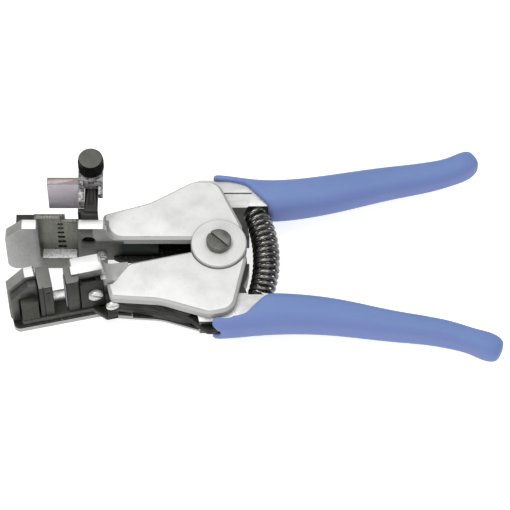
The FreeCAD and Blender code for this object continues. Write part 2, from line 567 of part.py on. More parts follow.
def stop_bracket():
    foot = block(-55.2, ARM_X1, STOP_BACK, 10.4, 5.1, 19.0)
    arm = block(ARM_X0, ARM_X1, STOP_BACK, 32.0, ARM_BOTTOM, ARM_TOP)
    spacer = block(-54.0, ARM_X1, BH_BACK, STOP_BACK + 0.1, 15.0, 19.0)
    half = KNOB_SHANK_R + 0.1
    slot_end = STOP_TRAVEL + half + 0.1
    slot_corners = [(-half, -slot_end), (half, -slot_end), (half, slot_end), (-half, slot_end)]
    slot = slab([(KNOB_X + x, KNOB_Y + y, half - 0.05) for x, y in slot_corners],
                ARM_BOTTOM - 1, ARM_TOP + 1)
    groove = block(KNOB_X - 1.0, KNOB_X + 1.0, 11.6, KNOB_Y - slot_end - 0.6, ARM_TOP - 0.5, ARM_TOP + 1)
    screw_hole = rod_y(STOP_SCREW_X, STOP_SCREW_Z, 0, 20, 1.2)
    return cut(join(foot, arm, spacer), slot, groove, screw_hole)


def stop_plate():
    """Stop plate with the clamp that the thumbscrew presses on the arm."""
    clamp = block(CLAMP_X0, CLAMP_X1, 18.75, 29.6, ARM_TOP + 0.1, KNOB_BOTTOM - 0.05)
    left_cheek = block(CLAMP_X0, ARM_X0 - 0.15, 11.2, 20.0, 19.2, 22.5)
    right_cheek = block(ARM_X1 + 0.15, CLAMP_X1, 14.8, 20.0, 19.2, 22.5)
    hole = rod(KNOB_X, KNOB_Y, 15, 30, KNOB_SHANK_R + RUNNING)
    return cut(join(clamp, block(*STOP_PLATE), left_cheek, right_cheek), hole)


def length_stop():
    keep("stop_bracket", stop_bracket())
    keep("stop_bracket_screw", join(rod_y(STOP_SCREW_X, STOP_SCREW_Z, 4.4, 10.4, 1.2),
                                    rod_y(STOP_SCREW_X, STOP_SCREW_Z, 10.4, 12.0, 2.2)))
    keep("stop_plate", stop_plate())
    knob = bevelled(rod(KNOB_X, KNOB_Y, KNOB_BOTTOM, KNOB_TOP, KNOB_R), KNOB_TOP, 0.6)
    keep("stop_knob", join(knob, rod(KNOB_X, KNOB_Y, 14.6, KNOB_BOTTOM, KNOB_SHANK_R)))
    nut = block(ARM_X0 + 0.3, ARM_X1 - 0.3, KNOB_Y - 2.3, KNOB_Y + 2.3, 15.0, ARM_BOTTOM - 0.1)
    keep("stop_nut", nut.cut(rod(KNOB_X, KNOB_Y, 10, 30, KNOB_SHANK_R + RUNNING)))


# ---- the whole tool -----------------------------------------------------------------------
def as_is(shape):
    return shape


side_plates("blade", blade_plate(INNER_EDGE), blade_plate(LOW_INNER_EDGE), 1, as_is)
side_plates("grip", grip_plate(), grip_plate(), -1, opened)
keep("blade_head", blade_head())
keep("blade_set_screw", set_screw())
keep("blade_head_screw",
     cheese_screw(HEAD_SCREW_X, HEAD_SCREW_Z, BH_FRONT, 2.0, HEAD_SCREW_HEAD, 1.5, 3.5, 20))
blades()
keep("draw_bar_blade", blade_carriage())
keep("grip_head", opened(grip_head()))
keep("grip_base_plate", opened(slab(BASE_PLATE, HEAD_BOTTOM, BASE_TOP)))
gripper()
keep("draw_bar_grip", opened(grip_carriage()))
handle("upper", UPPER_LINE, 0.1, LEVER_HALF, 0, as_is)
handle("lower", LOWER_LINE, 0.1, LEVER_HALF, -REST_OPEN, lambda s: flipped(mirrored(s)))
pivot()
spring()
length_stop()

os.makedirs("parts", exist_ok=True)
for part_name, group in parts.items():
    lifted = []
    for solid in group:
        moved = solid.copy()
        moved.translate(Vector(0, 0, LIFT))
        lifted.append(moved)
    result = lifted[0] if len(lifted) == 1 else Part.makeCompound(lifted)
    result.exportStep("parts/" + part_name + ".step")
    print(part_name, len(group), round(sum(s.Volume for s in group), 1),
          all(s.isValid() for s in group))
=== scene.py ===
import json
import math

import bmesh
import bpy
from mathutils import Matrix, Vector


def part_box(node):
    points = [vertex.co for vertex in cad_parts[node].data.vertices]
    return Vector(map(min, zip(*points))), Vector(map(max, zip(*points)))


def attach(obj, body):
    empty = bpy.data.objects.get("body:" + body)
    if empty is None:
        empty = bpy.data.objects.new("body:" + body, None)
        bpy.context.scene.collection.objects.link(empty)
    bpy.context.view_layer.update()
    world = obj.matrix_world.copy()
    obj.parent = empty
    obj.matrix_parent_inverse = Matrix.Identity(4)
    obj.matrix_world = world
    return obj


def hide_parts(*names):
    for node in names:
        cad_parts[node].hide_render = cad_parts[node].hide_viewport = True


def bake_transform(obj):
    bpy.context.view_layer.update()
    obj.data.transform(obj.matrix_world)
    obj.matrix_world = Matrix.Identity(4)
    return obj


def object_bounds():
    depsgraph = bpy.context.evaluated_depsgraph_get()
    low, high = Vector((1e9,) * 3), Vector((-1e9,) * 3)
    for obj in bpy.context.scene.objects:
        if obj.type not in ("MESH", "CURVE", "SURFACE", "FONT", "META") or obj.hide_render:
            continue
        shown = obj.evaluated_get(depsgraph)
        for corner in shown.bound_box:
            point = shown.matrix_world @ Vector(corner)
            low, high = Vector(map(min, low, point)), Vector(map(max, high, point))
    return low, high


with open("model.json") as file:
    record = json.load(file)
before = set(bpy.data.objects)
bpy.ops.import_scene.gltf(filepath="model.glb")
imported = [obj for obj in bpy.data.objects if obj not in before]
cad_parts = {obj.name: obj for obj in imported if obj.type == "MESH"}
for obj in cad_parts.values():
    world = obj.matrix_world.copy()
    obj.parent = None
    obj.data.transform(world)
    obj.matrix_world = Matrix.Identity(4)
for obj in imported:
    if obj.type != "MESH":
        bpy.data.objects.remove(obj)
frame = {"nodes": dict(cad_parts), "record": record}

# Visual model of a plier-type automatic wire stripper, in metres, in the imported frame:
# the pivot axis is Z through the origin, the handles point along +X.

MM = 0.001
REST_OPEN = math.radians(12.5)   # angle between the two heads at rest
cad_low, cad_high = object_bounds()
NODES = frame["nodes"]


def add_object(name, data):
    made = bpy.data.objects.new(name, data)
    bpy.context.scene.collection.objects.link(made)
    return made


# ---- camera, floor and light ---------------------------------------------------------------
VIEW_ELEVATION = math.radians(59.0)
VIEW_DISTANCE = 1.138
FOCAL = 2900 / 510          # focal length over image width
PIVOT_RIGHT = -36.2 / 510   # where the pivot's eye sits, from the middle of the image
PIVOT_UP = 12.2 / 510
SENSOR = 36.0               # millimetres
NEAREST, FARTHEST = 0.05, 10.0

SKY_STRENGTH = 0.42
# name, place, width and depth, and power of each light, all aimed at the tool's middle
LIGHTS = (("key", (-0.25, 0.12, 0.82), (0.45, 0.35), 3.4),
          ("top", (0.25, -0.05, 0.9), (0.7, 0.4), 1.9),
          ("front", (-0.1, -0.7, 0.45), (0.7, 0.3), 1.7))
FLOOR_REACH = 3.0
FLOOR_CORNERS = ((-1, -1), (1, -1), (1, 1), (-1, 1))


def make_camera():
    eye = Vector((0, 0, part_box("blade_plate_top")[1].z))
    forward = Vector((0, math.cos(VIEW_ELEVATION), -math.sin(VIEW_ELEVATION)))
    up = Vector((0, math.sin(VIEW_ELEVATION), math.cos(VIEW_ELEVATION)))
    right = Vector((1, 0, 0))
    scale = VIEW_DISTANCE / FOCAL
    data = bpy.data.cameras.new("camera")
    data.sensor_width = SENSOR
    data.lens = SENSOR * FOCAL
    data.clip_start, data.clip_end = NEAREST, FARTHEST
    camera = add_object("camera", data)
    camera.location = eye - forward * VIEW_DISTANCE - right * PIVOT_RIGHT * scale - up * PIVOT_UP * scale
    camera.rotation_mode = "QUATERNION"
    camera.rotation_quaternion = forward.to_track_quat("-Z", "Y")
    bpy.context.scene.camera = camera


def area_light(name, place, target, size, power):
    data = bpy.data.lights.new(name, "AREA")
    data.shape = "RECTANGLE"
    data.size, data.size_y = size
    data.energy = power
    lamp = add_object(name, data)
    lamp.location = place
    lamp.rotation_mode = "QUATERNION"
    lamp.rotation_quaternion = (target - Vector(place)).to_track_quat("-Z", "Y")


def make_studio():
    bpy.context.scene.view_settings.view_transform = "Standard"
    world = bpy.data.worlds.new("studio")
    bpy.context.scene.world = world
    world.use_nodes = True
    back = world.node_tree.nodes["Background"]
    back.inputs["Color"].default_value = (1, 1, 1, 1)
    back.inputs["Strength"].default_value = SKY_STRENGTH
    middle = (cad_low + cad_high) / 2
    for name, place, size, power in LIGHTS:
        area_light(name, place, middle, size, power)
    floor_mesh = bpy.data.meshes.new("floor")
    corners = [(x * FLOOR_REACH, y * FLOOR_REACH, cad_low.z) for x, y in FLOOR_CORNERS]
    floor_mesh.from_pydata(corners, [], [(0, 1, 2, 3)])
    floor_mesh.materials.append(floor_material())
    add_object("floor", floor_mesh)


# ---- materials -----------------------------------------------------------------------------
NOISE_ROUGHNESS = 0.6
NOISE_SPREAD = (0.3, 0.7)    # most of a noise's values lie between these


class Shader:
    """A Principled material with noise-driven colour, roughness and bump, in object space."""

    def __init__(self, name, colour, roughness, metallic=0.0, **sockets):
        self.material = bpy.data.materials.new(name)
        self.material.use_nodes = True
        self.tree = self.material.node_tree
        self.bsdf = self.tree.nodes["Principled BSDF"]
        self.bsdf.inputs["Base Color"].default_value = (*colour, 1)
        self.bsdf.inputs["Roughness"].default_value = roughness
        self.bsdf.inputs["Metallic"].default_value = metallic
        for key, value in sockets.items():
            self.bsdf.inputs[key.replace("_", " ")].default_value = value
        self.place = self.node("ShaderNodeTexCoord")
        self.normal = None

    def node(self, kind, **fields):
        made = self.tree.nodes.new(kind)
        for key, value in fields.items():
            setattr(made, key, value)
        return made

    def link(self, out, into):
        self.tree.links.new(out, into)

    def coordinates(self, stretch):
        scaled = self.node("ShaderNodeMapping")
        self.link(self.place.outputs["Object"], scaled.inputs["Vector"])
        scaled.inputs["Scale"].default_value = stretch
        return scaled.outputs["Vector"]

    def noise(self, size, stretch=(1, 1, 1), detail=4.0):
        """Noise whose features are about size metres across."""
        tex = self.node("ShaderNodeTexNoise")
        tex.inputs["Scale"].default_value = 1.0 / size
        tex.inputs["Detail"].default_value = detail
        tex.inputs["Roughness"].default_value = NOISE_ROUGHNESS
        self.link(self.coordinates(stretch), tex.inputs["Vector"])
        return tex.outputs["Fac"]

    def ramp(self, fac, stops):
        made = self.node("ShaderNodeValToRGB")
        self.link(fac, made.inputs["Fac"])
        elements = made.color_ramp.elements
        while len(elements) < len(stops):
            elements.new(0.5)
        for element, (at, value) in zip(elements, stops):
            element.position = at
            element.color = (*value, 1) if isinstance(value, tuple) else (value, value, value, 1)
        return made.outputs["Color"]

    def colour(self, socket):
        self.link(socket, self.bsdf.inputs["Base Color"])

    def mix(self, fac, first, second, kind="MIX"):
        made = self.node("ShaderNodeMix", data_type="RGBA", blend_type=kind)
        if isinstance(fac, float):
            made.inputs["Factor"].default_value = fac
        else:
            self.link(fac, made.inputs["Factor"])
        for value, slot in ((first, "A"), (second, "B")):
            socket = [s for s in made.inputs if s.name == slot and s.type == "RGBA"][0]
            if isinstance(value, tuple):
                socket.default_value = (*value, 1)
            else:
                self.link(value, socket)
        return [s for s in made.outputs if s.type == "RGBA"][0]

    def remap(self, value, source, target=(0, 1)):
        """Carries value from the source range to the target range, and holds it there."""
        made = self.node("ShaderNodeMapRange")
        for name, bound in zip(("From Min", "From Max", "To Min", "To Max"), (*source, *target)):
            made.inputs[name].default_value = bound
        self.link(value, made.inputs["Value"])
        return made.outputs["Result"]

    def roughness(self, fac, low, high):
        self.link(self.remap(fac, NOISE_SPREAD, (low, high)), self.bsdf.inputs["Roughness"])

    def gloss(self, fac, low, high):
        """Specular level from low to high as fac goes from 0 to 1."""
        self.link(self.remap(fac, (0, 1), (low, high)), self.bsdf.inputs["Specular IOR Level"])

    def bump(self, fac, height, strength=1.0):
        made = self.node("ShaderNodeBump")
        made.inputs["Distance"].default_value = height
        made.inputs["Strength"].default_value = strength
        self.link(fac, made.inputs["Height"])
        if self.normal is not None:
            self.link(self.normal, made.inputs["Normal"])
        self.normal = made.outputs["Normal"]
        self.link(self.normal, self.bsdf.inputs["Normal"])

    def along(self, vector, axis, low, high):
        """0 to 1 as the vector's coordinate goes from low to high, either way round."""
        split = self.node("ShaderNodeSeparateXYZ")
        self.link(vector, split.inputs["Vector"])
        return self.remap(split.outputs[axis], (low, high))

    def place_along(self, axis, low, high):
        """along, for the place on the object."""
        return self.along(self.place.outputs["Object"], axis, low, high)

    def closed_along(self, axis, low, high):
        """place_along in the gripper half's own frame, before it is swung open by REST_OPEN."""
        swung = self.node("ShaderNodeMapping")
        swung.inputs["Rotation"].default_value = (0, 0, -REST_OPEN)
        self.link(self.place.outputs["Object"], swung.inputs["Vector"])
        return self.along(swung.outputs["Vector"], axis, low, high)

    def facing(self, axis, low, high):
        """along, for the direction that the surface faces."""
        return self.along(self.place.outputs["Normal"], axis, low, high)

    def combine(self, operation, first, second):
        made = self.node("ShaderNodeMath", operation=operation)
        self.link(first, made.inputs[0])
        self.link(second, made.inputs[1])
        return made.outputs["Value"]

    def both(self, first, second):
        return self.combine("MULTIPLY", first, second)

    def either(self, first, second):
        return self.combine("MAXIMUM", first, second)


def floor_material():
    """Pale sweep that glows a little, so that the tool throws only a faint shadow."""
    s = Shader("studio_floor", (0.6, 0.6, 0.6), 0.9, Emission_Color=(1, 1, 1, 1), Emission_Strength=0.72,
               Specular_IOR_Level=0.1)
    s.colour(s.ramp(s.noise(0.4), [(0.3, (0.58, 0.58, 0.58)), (0.7, (0.62, 0.62, 0.62))]))
    return s.material


LOWER_PLATES_Z = 9.0 * MM    # all of the lower plates lie below this
EYE_Z = 21.8 * MM            # only the top plate's eye is higher
PLATE_RIM_Z = 6.1 * MM       # the lower side plates' rims stay bright up to here; above it their sides are painted nearly black as painted shade
BASE_RIM_Z = 1.0 * MM        # and here on the gripper's base


def cast_frame(name, rim_top):
    """Bright plated casting: nearly white, faint polishing cloudiness and pores; faces turned away from
    straight up are painted grey, and their bevels get a patchy dark outline, as painted shade.

    The lower plates' sides stay bright only below rim_top; above it, and along their inner edges, they are
    painted nearly black as painted shade.
    """
    s = Shader(name, (0.76, 0.76, 0.74), 0.45, 0.1, Specular_IOR_Level=0.4)
    clouds = s.noise(0.011, detail=6)
    grain = s.noise(0.0009, detail=3)
    base = s.ramp(clouds, [(0.32, (0.63, 0.635, 0.62)), (0.5, (0.72, 0.72, 0.705)),
                           (0.7, (0.78, 0.78, 0.77))])
    # painted shade: faces turned away from straight up are painted grey, the steeper ones darker
    edge = s.mix(s.facing("Z", 0.75, 0.97), (0.46, 0.46, 0.445), base)
    rim = s.mix(s.facing("Z", 0.1, 0.5), (0.36, 0.36, 0.347), edge)
    eye = s.mix(1.0, rim, (0.88, 0.88, 0.88), "MULTIPLY")
    rim = s.mix(s.place_along("Z", EYE_Z, EYE_Z + 0.1 * MM), rim, eye)
    # painted shade: bevel faces between the tops and the sides get a dark, patchy outline
    outline = s.both(s.facing("Z", 0.74, 0.80), s.facing("Z", 0.985, 0.93))
    patchy_light_shade = s.ramp(s.noise(0.006, detail=5), [(0.4, 0.25), (0.6, 0.85)])
    rim = s.mix(s.both(outline, patchy_light_shade), rim, (0.13, 0.13, 0.125))
    # painted shade: the lower plates' sides above rim_top and their inner edges, between the plates, are
    # painted nearly black with little sheen
    below = s.place_along("Z", LOWER_PLATES_Z, LOWER_PLATES_Z - 1 * MM)
    in_shade = s.both(below, s.place_along("Z", rim_top, rim_top + 0.15 * MM))
    inner_edge = s.both(below, s.both(s.place_along("Y", 0, 1 * MM), s.facing("Y", -0.5, -0.8)))
    painted_shade = s.either(in_shade, inner_edge)
    rim = s.mix(painted_shade, rim, (0.016, 0.017, 0.015))
    s.gloss(painted_shade, 0.4, 0.08)
    s.colour(s.mix(s.ramp(grain, [(0.28, 0.22), (0.42, 0.0)]), rim, (0.42, 0.42, 0.41)))
    s.roughness(clouds, 0.38, 0.52)
    s.bump(s.noise(0.0016), 0.00004, 0.5)
    return s.material


HEAD_SHELF_Z = 27.2 * MM     # only the heads' topmost shelves are ground bright
PIER_X = -71.4 * MM          # left of this the blade head's pier is painted lighter, as painted light; to its right the face lies in the gripper head's shadow
SILL_Z = 9.5 * MM            # sills of the windows lie below this
LEDGE_Z = 18.0 * MM          # upward faces are paler above this
RAMP_X = -47.5 * MM          # the heads' ramps start here, and are paler above RAMP_Z;
RAMP_Y = -7.6 * MM           # with the gripper head closed, its ramp reaches out to here
RAMP_Z = 19.0 * MM
GUIDE_X = -73.0 * MM         # with the gripper head closed, its dark guide lies left of this
GUIDE_Y = -3.0 * MM          # and outside this
WEB_X = -46.0 * MM           # the webs between the side plates are painted dark as painted shade, fading in over WEB_FADE to the right of this
WEB_FADE = 8.0 * MM
WEB_Z = 17.0 * MM            # and lie below this


def head_steel():
    """Grey blasted steel whose topmost shelves are ground bright and whose sills are speckled; the webs
    between the side plates are painted dark as painted shade.
    """
    s = Shader("head_steel", (0.15, 0.15, 0.14), 0.48, 0.3)
    cloud = s.noise(0.006, detail=6)
    speck = s.noise(0.0007, detail=3)
    dark = s.ramp(cloud, [(0.3, (0.115, 0.118, 0.106)), (0.6, (0.185, 0.188, 0.172)),
                          (0.8, (0.24, 0.24, 0.225))])
    pier = s.ramp(cloud, [(0.3, (0.33, 0.335, 0.33)), (0.6, (0.41, 0.41, 0.405)),
                          (0.8, (0.46, 0.46, 0.455))])
    # painted light and shade: the pier is lighter, and the face to its right, shaded by the gripper head, is
    # darker
    blade_side = s.both(s.place_along("X", PIER_X + 1.5 * MM, PIER_X - 1.5 * MM),
                        s.place_along("Y", 1.0 * MM, 2.0 * MM))
    body = s.mix(blade_side, dark, pier)
    body = s.mix(s.ramp(speck, [(0.30, 0.5), (0.45, 0.0)]), body, (0.06, 0.06, 0.055))
    # painted shade: the webs deep between the side plates, nearly black with little sheen
    web_shade = s.both(s.place_along("X", WEB_X, WEB_X + WEB_FADE), s.place_along("Z", WEB_Z + 2 * MM, WEB_Z))
    body = s.mix(web_shade, body, (0.013, 0.021, 0.016))
    s.gloss(web_shade, 0.5, 0.08)
    sill = s.ramp(s.noise(0.0011, detail=4), [(0.35, (0.6, 0.6, 0.585)), (0.55, (1.0, 1.0, 0.98))])
    up = s.facing("Z", 0.9, 0.98)
    body = s.mix(s.both(up, s.place_along("Z", SILL_Z + 1 * MM, SILL_Z)), body, sill)
    ledge = s.ramp(cloud, [(0.3, (0.19, 0.19, 0.182)), (0.7, (0.285, 0.285, 0.275))])
    raised = s.place_along("Z", LEDGE_Z, LEDGE_Z + 2 * MM)
    body = s.mix(s.both(s.facing("Z", 0.5, 0.7), raised), body, ledge)
    guide = s.both(s.closed_along("Y", GUIDE_Y + 0.1 * MM, GUIDE_Y - 0.1 * MM),
                   s.closed_along("X", GUIDE_X + 0.1 * MM, GUIDE_X - 0.1 * MM))
    body = s.mix(guide, body, s.ramp(cloud, [(0.3, (0.03, 0.03, 0.028)), (0.7, (0.07, 0.07, 0.065))]))
    slope = s.both(s.closed_along("X", RAMP_X - 0.3 * MM, RAMP_X),
                   s.closed_along("Y", RAMP_Y - 0.1 * MM, RAMP_Y))
    slope = s.both(slope, s.place_along("Z", RAMP_Z, RAMP_Z + 1 * MM))
    body = s.mix(slope, body, s.ramp(cloud, [(0.3, (0.36, 0.36, 0.35)), (0.7, (0.48, 0.48, 0.47))]))
    bright = s.ramp(s.noise(0.0012, (0.15, 1, 1)), [(0.3, (0.74, 0.74, 0.72)), (0.7, (0.87, 0.87, 0.85))])
    shelf = s.both(up, s.place_along("Z", HEAD_SHELF_Z - 0.4 * MM, HEAD_SHELF_Z + 0.4 * MM))
    s.colour(s.mix(shelf, body, bright))
    s.roughness(cloud, 0.38, 0.58)
    s.bump(speck, 0.00005, 0.6)
    return s.material


SHADE_FADE = 4.0 * MM


def dark_steel(name, low, high, rough, metallic=0.3, bright_top=None, shade_from=None):
    """Blackened or burnished tool steel with fine grinding lines and a patchy tone; with bright_top, faces
    turned up are painted lighter as painted light.

    To the right of the X that it is given, over a short fade, it is painted nearly black with streaks, as
    painted shade where it runs in between the side plates.
    """
    s = Shader(name, high, rough, metallic, Specular_IOR_Level=0.22)
    cloud = s.noise(0.004, detail=6)
    lines = s.noise(0.0006, (1, 1, 0.08), detail=2)
    body = s.ramp(cloud, [(0.3, low), (0.7, high)])
    body = s.mix(s.ramp(lines, [(0.35, 0.35), (0.6, 0.0)]), body, tuple(0.5 * c for c in low))
    if bright_top:
        # painted light: faces turned up are painted lighter than the sides
        patchy_light_shade = s.ramp(cloud, [(0.3, tuple(0.85 * c for c in bright_top)),
                              (0.7, tuple(1.1 * c for c in bright_top))])
        body = s.mix(s.facing("Z", 0.8, 0.97), body, patchy_light_shade)
    if shade_from is not None:
        # painted shade: nearly black with streaks and little sheen where it runs in between the side plates
        in_shade = s.place_along("X", shade_from, shade_from + SHADE_FADE)
        streaks = s.ramp(s.noise(0.004, (0.4, 1, 3)), [(0.45, (0.006, 0.007, 0.006)),
                                                       (0.75, (0.06, 0.06, 0.056))])
        body = s.mix(in_shade, body, streaks)
        s.gloss(in_shade, 0.22, 0.1)
    s.colour(body)
    s.roughness(cloud, rough - 0.09, rough + 0.11)
    s.bump(lines, 0.00002, 0.5)
    return s.material


EDGE_X = -62.35 * MM         # where the two blades meet
NOTCH_REACH = 1.9 * MM       # the notch walls within this of EDGE_X are painted near black as painted shade
NOTCH_Z = 26.2 * MM          # and below this


def blade_steel():
    """Olive-grey hardened blades: lighter ground tops, notch walls painted near black as painted shade, size
    ticks.
    """
    s = Shader("blade_steel", (0.14, 0.14, 0.12), 0.42, 0.35)
    cloud = s.noise(0.004, detail=6)
    lines = s.noise(0.0006, (1, 1, 0.08), detail=2)
    body = s.ramp(cloud, [(0.3, (0.175, 0.178, 0.145)), (0.7, (0.25, 0.253, 0.212))])
    body = s.mix(s.ramp(lines, [(0.35, 0.3), (0.6, 0.0)]), body, (0.07, 0.07, 0.06))
    ticks = s.ramp(s.noise(0.0008, (1, 0.2, 0.2), detail=1), [(0.36, (0.03, 0.03, 0.026)),
                                                              (0.46, (0.15, 0.148, 0.125))])
    body = s.mix(s.facing("Z", 0.8, 0.97), body, ticks)
    beside = s.both(s.place_along("X", EDGE_X - NOTCH_REACH, EDGE_X - NOTCH_REACH + 0.1 * MM),
                    s.place_along("X", EDGE_X + NOTCH_REACH, EDGE_X + NOTCH_REACH - 0.1 * MM))
    # painted shade: notch walls facing the front, nearly black
    notch_shade = s.both(s.both(beside, s.facing("Y", -0.8, -0.5)), s.place_along("Z", NOTCH_Z + 0.2 * MM, NOTCH_Z))
    s.colour(s.mix(notch_shade, body, (0.008, 0.008, 0.007)))
    s.roughness(cloud, 0.32, 0.52)
    s.bump(lines, 0.00002, 0.5)
    return s.material


LEVER_FACE_Y = 19.6 * MM     # the levers' upward faces are bright only outside this; inside it they are painted nearly black as painted shade


def lever_steel():
    """Stamped levers: bright satin faces; their sides, and their faces between the spring's ends, are painted
    nearly black as painted shade.
    """
    s = Shader("lever_steel", (0.7, 0.7, 0.68), 0.36, 0.2)
    cloud = s.noise(0.006, detail=6)
    brushed = s.noise(0.0007, (0.1, 1, 1), detail=2)
    face = s.ramp(cloud, [(0.3, (0.64, 0.64, 0.62)), (0.7, (0.78, 0.78, 0.76))])
    face = s.mix(s.ramp(brushed, [(0.35, 0.18), (0.6, 0.0)]), face, (0.42, 0.42, 0.41))
    # painted shade: the sides and the inner faces, nearly black
    side = s.ramp(cloud, [(0.3, (0.022, 0.022, 0.020)), (0.7, (0.05, 0.05, 0.046))])
    unshaded = s.either(s.place_along("Y", LEVER_FACE_Y, LEVER_FACE_Y + 0.2 * MM),
                     s.place_along("Y", -LEVER_FACE_Y, -LEVER_FACE_Y - 0.2 * MM))
    s.colour(s.mix(s.both(s.facing("Z", 0.8, 0.97), unshaded), side, face))
    s.roughness(brushed, 0.28, 0.44)
    s.bump(brushed, 0.00002, 0.5)
    return s.material


def bright_steel():
    s = Shader("bright_steel", (0.66, 0.66, 0.64), 0.3, 0.45)
    turned = s.noise(0.0009, detail=3)
    face = s.ramp(turned, [(0.3, (0.40, 0.40, 0.39)), (0.6, (0.68, 0.68, 0.66))])
    s.colour(s.mix(s.facing("Z", 0.3, 0.9), face, (0.72, 0.72, 0.70)))
    s.roughness(s.noise(0.002), 0.22, 0.38)
    s.bump(turned, 0.00002, 0.4)
    return s.material


def handle_vinyl():
    """Dipped soft vinyl: matt violet blue with a fine skin texture and rubbed lighter patches."""
    s = Shader("handle_vinyl", (0.18, 0.26, 0.51), 0.6, 0.0, Sheen_Weight=0.08, Sheen_Roughness=0.5,
               Subsurface_Weight=0.05, Subsurface_Scale=0.002, Specular_IOR_Level=0.25)
    patch = s.noise(0.02, (0.5, 1, 1), detail=5)
    fine = s.noise(0.0006, detail=3)
    tone = s.ramp(patch, [(0.3, (0.144, 0.216, 0.45)), (0.55, (0.158, 0.236, 0.475)),
                          (0.8, (0.176, 0.255, 0.5))])
    # painted shade: faces turned to the front and downwards are painted darker and more violet
    tone = s.mix(s.facing("Y", -0.1, -0.9), tone, (0.150, 0.207, 0.455))
    s.colour(s.mix(s.ramp(fine, [(0.3, 0.22), (0.5, 0.0)]), tone, (0.12, 0.178, 0.395)))
    s.roughness(patch, 0.52, 0.68)
    s.bump(fine, 0.00005, 0.45)
    s.bump(s.noise(0.006, detail=2), 0.00012, 0.35)
    return s.material


CLEAR_CLAMP_X = -55.0 * MM   # right of this the moulding wraps the black arm, which shows through


def clear_plastic():
    """Translucent, slightly pink moulding with faint flow marks; dark specks over the arm."""
    s = Shader("clear_plastic", (0.42, 0.37, 0.39), 0.3, 0.0, Transmission_Weight=0.12, IOR=1.49,
               Coat_Weight=0.3, Coat_Roughness=0.15)
    flow = s.noise(0.009, (0.6, 1, 1.6), detail=3)
    front = s.ramp(flow, [(0.3, (0.64, 0.60, 0.67)), (0.7, (0.73, 0.68, 0.74))])
    top = s.ramp(flow, [(0.3, (0.23, 0.175, 0.18)), (0.7, (0.27, 0.21, 0.215))])
    plate = s.mix(s.facing("Z", 0.4, 0.9), front, top)
    through = s.ramp(s.noise(0.0013, detail=3), [(0.40, (0.07, 0.07, 0.07)), (0.60, (0.40, 0.385, 0.39))])
    s.colour(s.mix(s.place_along("X", CLEAR_CLAMP_X - 0.2 * MM, CLEAR_CLAMP_X + 0.4 * MM), plate, through))
    s.roughness(flow, 0.22, 0.34)
    return s.material


def knob_black():
    s = Shader("knob_black", (0.02, 0.02, 0.02), 0.5, 0.0, Specular_IOR_Level=0.15)
    wear = s.noise(0.003, detail=5)
    side = s.ramp(wear, [(0.3, (0.002, 0.002, 0.002)), (0.7, (0.006, 0.006, 0.006))])
    top = s.ramp(wear, [(0.3, (0.092, 0.094, 0.082)), (0.7, (0.118, 0.12, 0.106))])
    cap = s.facing("Z", 0.9, 0.98)
    s.colour(s.mix(cap, side, top))
    s.gloss(cap, 0.04, 0.15)
    s.roughness(wear, 0.38, 0.54)
    s.bump(s.noise(0.0005), 0.00003, 0.4)
    return s.material


def jaw_pad():
    s = Shader("jaw_pad", (0.40, 0.38, 0.42), 0.7)
    s.colour(s.ramp(s.noise(0.001), [(0.3, (0.34, 0.32, 0.37)), (0.7, (0.45, 0.43, 0.47))]))
    s.bump(s.noise(0.0007), 0.00005, 0.5)
    return s.material


def spring_steel():
    """Oiled dark wire with bright worn outsides."""
    s = Shader("spring_steel", (0.10, 0.095, 0.09), 0.2, 0.95)
    cloud = s.noise(0.003, detail=5)
    s.colour(s.ramp(cloud, [(0.3, (0.05, 0.048, 0.044)), (0.7, (0.29, 0.28, 0.26))]))
    s.roughness(cloud, 0.14, 0.28)
    s.bump(s.noise(0.0005, detail=2), 0.00002, 0.4)
    return s.material


def make_materials():
    return {
        "cast_frame": cast_frame("cast_frame", PLATE_RIM_Z),
        "cast_rim": cast_frame("cast_rim", BASE_RIM_Z),
        "head_steel": head_steel(),
        "jaw_steel": dark_steel("jaw_steel", (0.019, 0.019, 0.016), (0.034, 0.033, 0.028), 0.46, 0.1,
                                (0.17, 0.17, 0.16)),
        "clamp_steel": dark_steel("clamp_steel", (0.012, 0.012, 0.010), (0.028, 0.028, 0.024), 0.46, 0.1),
        "blade_steel": blade_steel(),
        "bar_steel": dark_steel("bar_steel", (0.030, 0.030, 0.025), (0.066, 0.065, 0.055), 0.48, 0.1,
                                shade_from=-47 * MM),
        "lever_steel": lever_steel(),
        "pivot_steel": dark_steel("pivot_steel", (0.11, 0.11, 0.103), (0.18, 0.18, 0.168), 0.42, 0.35),
        "black_steel": dark_steel("black_steel", (0.004, 0.004, 0.004), (0.014, 0.014, 0.013), 0.44, 0.0,
                                  (0.028, 0.027, 0.026)),
        "spring_steel": spring_steel(),
        "bright_steel": bright_steel(),
        "handle_vinyl": handle_vinyl(),
        "clear_plastic": clear_plastic(),
        "knob_black": knob_black(),
        "jaw_pad": jaw_pad(),
    }


# ---- carried-over CAD nodes ----------------------------------------------------------------
# nodes whose finish isn't plainly their slot's
FINISHES = {"grip_base_plate": "cast_rim", "grip_clamp_block": "clamp_steel"}
EDGE = {"cast_frame": 0.45 * MM, "head_steel": 0.35 * MM, "clear_plastic": 0.3 * MM}   # bevel widths by slot
FINE_EDGE = 0.22 * MM        # the bevel of every other slot
BEVEL_ANGLE = math.radians(40)
SMOOTH_ANGLE = math.radians(32)
WELD_REACH = 0.01 * MM
SKIN_VOXEL = 0.8 * MM
SKIN_SOFTNESS, SKIN_PASSES = 0.6, 14


